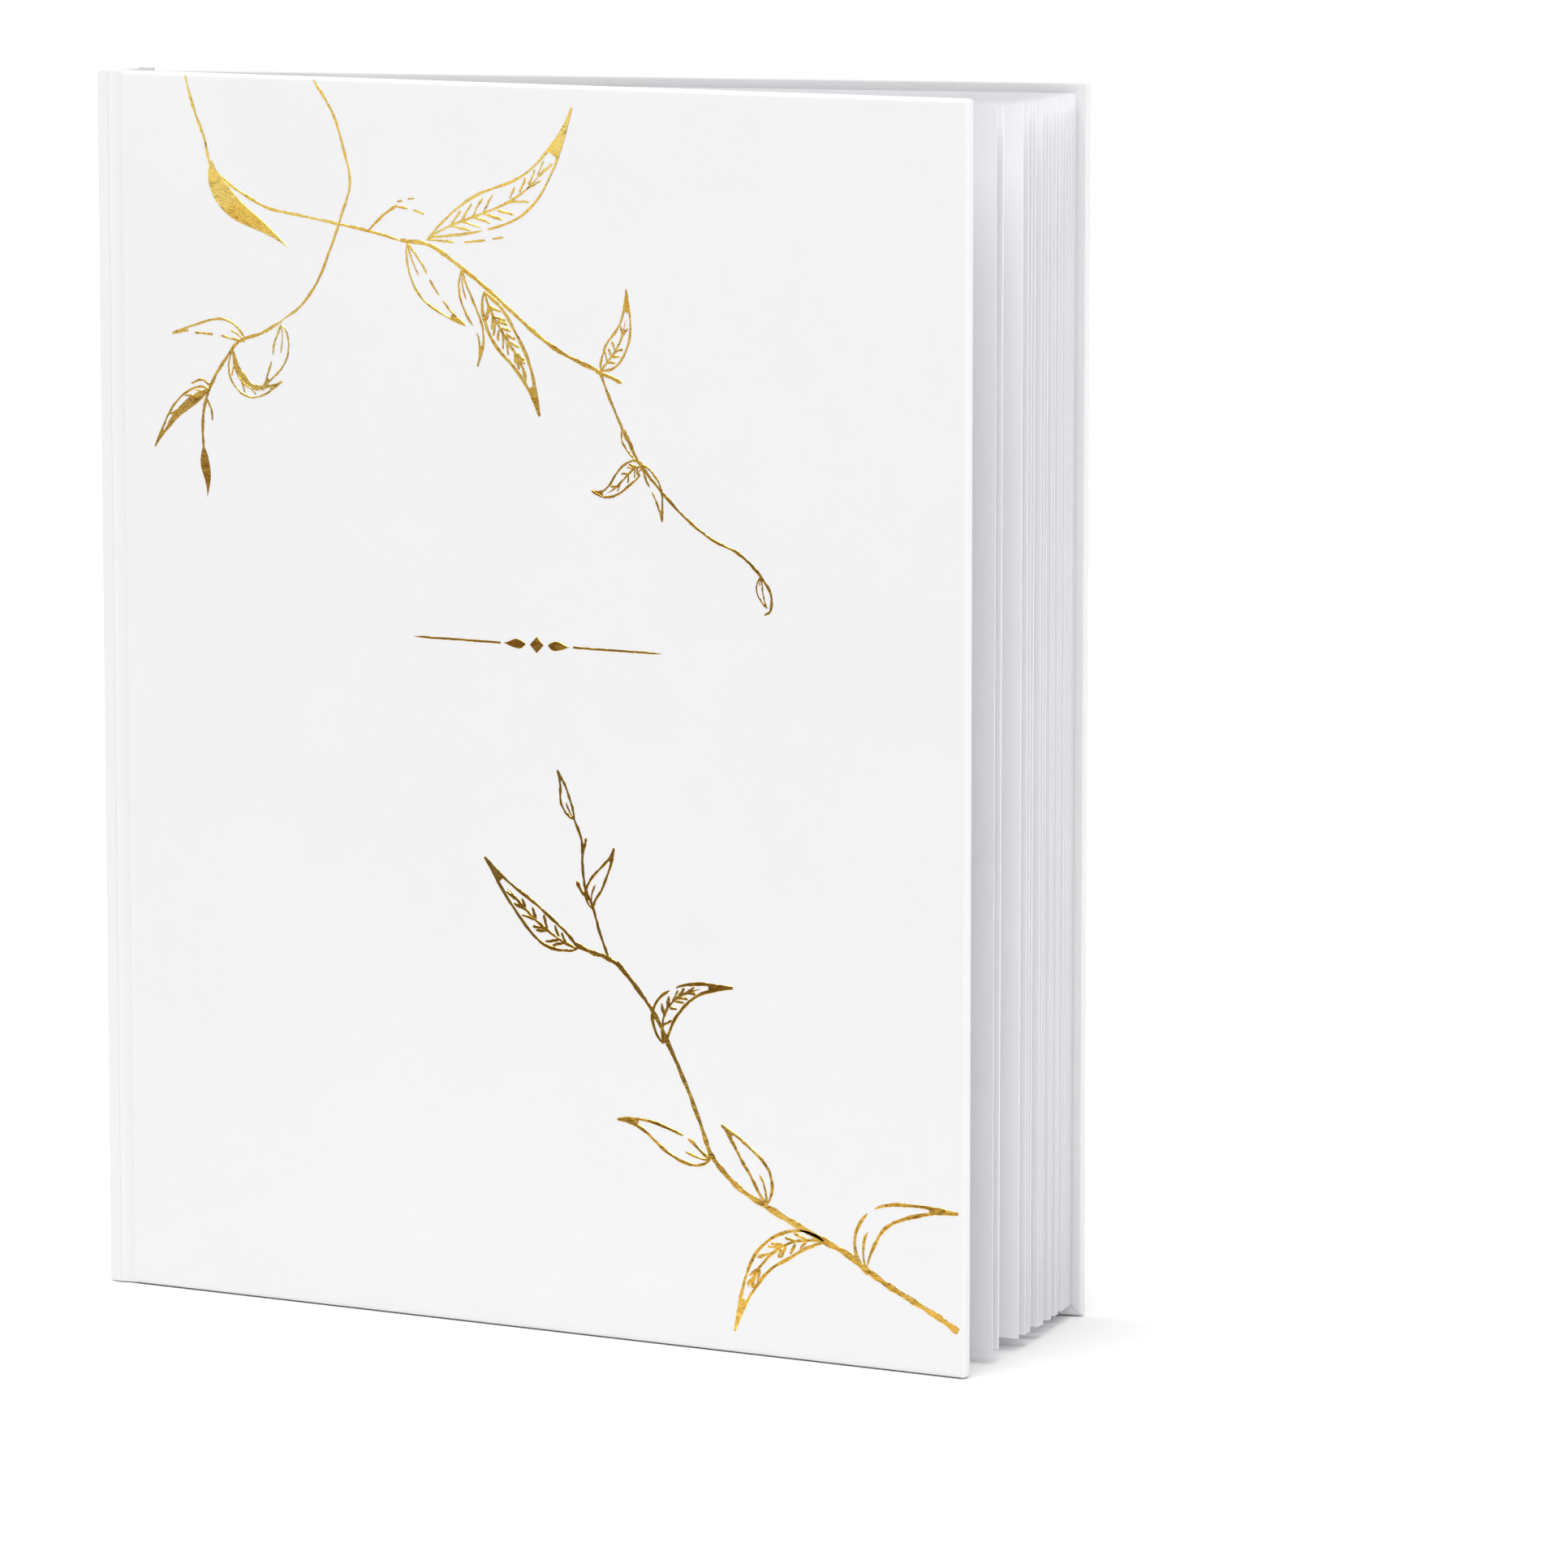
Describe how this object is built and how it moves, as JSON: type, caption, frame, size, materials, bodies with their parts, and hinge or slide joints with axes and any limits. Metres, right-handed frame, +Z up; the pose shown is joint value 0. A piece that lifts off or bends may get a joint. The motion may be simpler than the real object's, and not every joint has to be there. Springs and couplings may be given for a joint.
{
  "type": "wedding guest book",
  "caption": "Upright hardcover guest book with a flat spine, slightly open, its thick leaves fanned; plain pale covers with a thin foil rule on the front.",
  "frame": {"origin": "bottom centre of the book's bounding box, on the surface it stands on", "axes": "+Z up from tail to head; +X from the spine towards the fore-edge of the front cover; -Y out of the front cover's outer face"},
  "size_m": [0.203, 0.0682, 0.254],
  "materials": {
    "cover_paper": "matte soft-touch white covering paper",
    "grey_board": "matte grey binder's board",
    "lining": "open-weave spine lining with dried glue",
    "endpaper": "smooth white endpaper",
    "leaf_paper": "uncoated thick white paper",
    "gold_foil": "hot-stamped gold foil, bright and slightly crinkled"
  },
  "bodies": {
    "spine": {"spine_board": "grey_board", "spine_wrap": "cover_paper", "spine_lining": "lining", "bound_root": "leaf_paper"},
    "front_cover": {"front_board": "grey_board", "front_wrap": "cover_paper", "front_pastedown": "endpaper", "cover_foil": "gold_foil"},
    "back_cover": {"back_board": "grey_board", "back_wrap": "cover_paper", "back_pastedown": "endpaper"},
    "front_flyleaf_turn": {"front_flyleaf": "endpaper"},
    "leaf_01_turn": {"leaf_01": "leaf_paper"},
    "leaf_02_turn": {"leaf_02": "leaf_paper"},
    "leaf_03_turn": {"leaf_03": "leaf_paper"},
    "leaf_04_turn": {"leaf_04": "leaf_paper"},
    "leaf_05_turn": {"leaf_05": "leaf_paper"},
    "leaf_06_turn": {"leaf_06": "leaf_paper"},
    "leaf_07_turn": {"leaf_07": "leaf_paper"},
    "leaf_08_turn": {"leaf_08": "leaf_paper"},
    "leaf_09_turn": {"leaf_09": "leaf_paper"},
    "leaf_10_turn": {"leaf_10": "leaf_paper"},
    "leaf_11_turn": {"leaf_11": "leaf_paper"},
    "leaf_12_turn": {"leaf_12": "leaf_paper"},
    "leaf_13_turn": {"leaf_13": "leaf_paper"},
    "leaf_14_turn": {"leaf_14": "leaf_paper"},
    "leaf_15_turn": {"leaf_15": "leaf_paper"},
    "leaf_16_turn": {"leaf_16": "leaf_paper"},
    "back_flyleaf_turn": {"back_flyleaf": "endpaper"}
  },
  "joints": [
    {"name": "front_cover_hinge", "type": "hinge", "parent": "spine", "child": "front_cover", "pos_m": [-0.0985, -0.03404, 0], "axis": [0, 0, -1], "range_deg": [0, 170]},
    {"name": "back_cover_hinge", "type": "hinge", "parent": "spine", "child": "back_cover", "pos_m": [-0.0985, -0.02084, 0], "axis": [0, 0, 1], "range_deg": [-16, 74]},
    {"name": "front_flyleaf_hinge", "type": "hinge", "parent": "spine", "child": "front_flyleaf_turn", "pos_m": [-0.0953, -0.03084, 0], "axis": [0, 0, 1], "range_deg": [-3.6, 16.65]},
    {"name": "leaf_01_hinge", "type": "hinge", "parent": "spine", "child": "leaf_01_turn", "pos_m": [-0.0953, -0.03044, 0], "axis": [0, 0, 1], "range_deg": [-4.4, 20.35]},
    {"name": "leaf_02_hinge", "type": "hinge", "parent": "spine", "child": "leaf_02_turn", "pos_m": [-0.0953, -0.03004, 0], "axis": [0, 0, 1], "range_deg": [-7.4, 34.23]},
    {"name": "leaf_03_hinge", "type": "hinge", "parent": "spine", "child": "leaf_03_turn", "pos_m": [-0.0953, -0.02964, 0], "axis": [0, 0, 1], "range_deg": [-8.3, 38.39]},
    {"name": "leaf_04_hinge", "type": "hinge", "parent": "spine", "child": "leaf_04_turn", "pos_m": [-0.0953, -0.02924, 0], "axis": [0, 0, 1], "range_deg": [-8.7, 40.24]},
    {"name": "leaf_05_hinge", "type": "hinge", "parent": "spine", "child": "leaf_05_turn", "pos_m": [-0.0953, -0.02884, 0], "axis": [0, 0, 1], "range_deg": [-9.1, 42.09]},
    {"name": "leaf_06_hinge", "type": "hinge", "parent": "spine", "child": "leaf_06_turn", "pos_m": [-0.0953, -0.02844, 0], "axis": [0, 0, 1], "range_deg": [-10.3, 47.64]},
    {"name": "leaf_07_hinge", "type": "hinge", "parent": "spine", "child": "leaf_07_turn", "pos_m": [-0.0953, -0.02804, 0], "axis": [0, 0, 1], "range_deg": [-10.7, 49.49]},
    {"name": "leaf_08_hinge", "type": "hinge", "parent": "spine", "child": "leaf_08_turn", "pos_m": [-0.0953, -0.02764, 0], "axis": [0, 0, 1], "range_deg": [-11.1, 51.34]},
    {"name": "leaf_09_hinge", "type": "hinge", "parent": "spine", "child": "leaf_09_turn", "pos_m": [-0.0953, -0.02724, 0], "axis": [0, 0, 1], "range_deg": [-12, 55.5]},
    {"name": "leaf_10_hinge", "type": "hinge", "parent": "spine", "child": "leaf_10_turn", "pos_m": [-0.0953, -0.02684, 0], "axis": [0, 0, 1], "range_deg": [-12.4, 57.35]},
    {"name": "leaf_11_hinge", "type": "hinge", "parent": "spine", "child": "leaf_11_turn", "pos_m": [-0.0953, -0.02644, 0], "axis": [0, 0, 1], "range_deg": [-13.2, 61.05]},
    {"name": "leaf_12_hinge", "type": "hinge", "parent": "spine", "child": "leaf_12_turn", "pos_m": [-0.0953, -0.02604, 0], "axis": [0, 0, 1], "range_deg": [-13.6, 62.9]},
    {"name": "leaf_13_hinge", "type": "hinge", "parent": "spine", "child": "leaf_13_turn", "pos_m": [-0.0953, -0.02564, 0], "axis": [0, 0, 1], "range_deg": [-14.35, 66.37]},
    {"name": "leaf_14_hinge", "type": "hinge", "parent": "spine", "child": "leaf_14_turn", "pos_m": [-0.0953, -0.02524, 0], "axis": [0, 0, 1], "range_deg": [-14.75, 68.22]},
    {"name": "leaf_15_hinge", "type": "hinge", "parent": "spine", "child": "leaf_15_turn", "pos_m": [-0.0953, -0.02484, 0], "axis": [0, 0, 1], "range_deg": [-15.15, 70.07]},
    {"name": "leaf_16_hinge", "type": "hinge", "parent": "spine", "child": "leaf_16_turn", "pos_m": [-0.0953, -0.02444, 0], "axis": [0, 0, 1], "range_deg": [-15.55, 71.92]},
    {"name": "back_flyleaf_hinge", "type": "hinge", "parent": "spine", "child": "back_flyleaf_turn", "pos_m": [-0.0953, -0.02404, 0], "axis": [0, 0, 1], "range_deg": [-15.95, 73.77]}
  ],
  "couplings": [
    {"joint": "front_flyleaf_hinge", "follows": "back_cover_hinge", "ratio": 0.225},
    {"joint": "leaf_01_hinge", "follows": "back_cover_hinge", "ratio": 0.275},
    {"joint": "leaf_02_hinge", "follows": "back_cover_hinge", "ratio": 0.4625},
    {"joint": "leaf_03_hinge", "follows": "back_cover_hinge", "ratio": 0.51875},
    {"joint": "leaf_04_hinge", "follows": "back_cover_hinge", "ratio": 0.54375},
    {"joint": "leaf_05_hinge", "follows": "back_cover_hinge", "ratio": 0.56875},
    {"joint": "leaf_06_hinge", "follows": "back_cover_hinge", "ratio": 0.64375},
    {"joint": "leaf_07_hinge", "follows": "back_cover_hinge", "ratio": 0.66875},
    {"joint": "leaf_08_hinge", "follows": "back_cover_hinge", "ratio": 0.69375},
    {"joint": "leaf_09_hinge", "follows": "back_cover_hinge", "ratio": 0.75},
    {"joint": "leaf_10_hinge", "follows": "back_cover_hinge", "ratio": 0.775},
    {"joint": "leaf_11_hinge", "follows": "back_cover_hinge", "ratio": 0.825},
    {"joint": "leaf_12_hinge", "follows": "back_cover_hinge", "ratio": 0.85},
    {"joint": "leaf_13_hinge", "follows": "back_cover_hinge", "ratio": 0.89687},
    {"joint": "leaf_14_hinge", "follows": "back_cover_hinge", "ratio": 0.92188},
    {"joint": "leaf_15_hinge", "follows": "back_cover_hinge", "ratio": 0.94688},
    {"joint": "leaf_16_hinge", "follows": "back_cover_hinge", "ratio": 0.97188},
    {"joint": "back_flyleaf_hinge", "follows": "back_cover_hinge", "ratio": 0.99687}
  ]
}
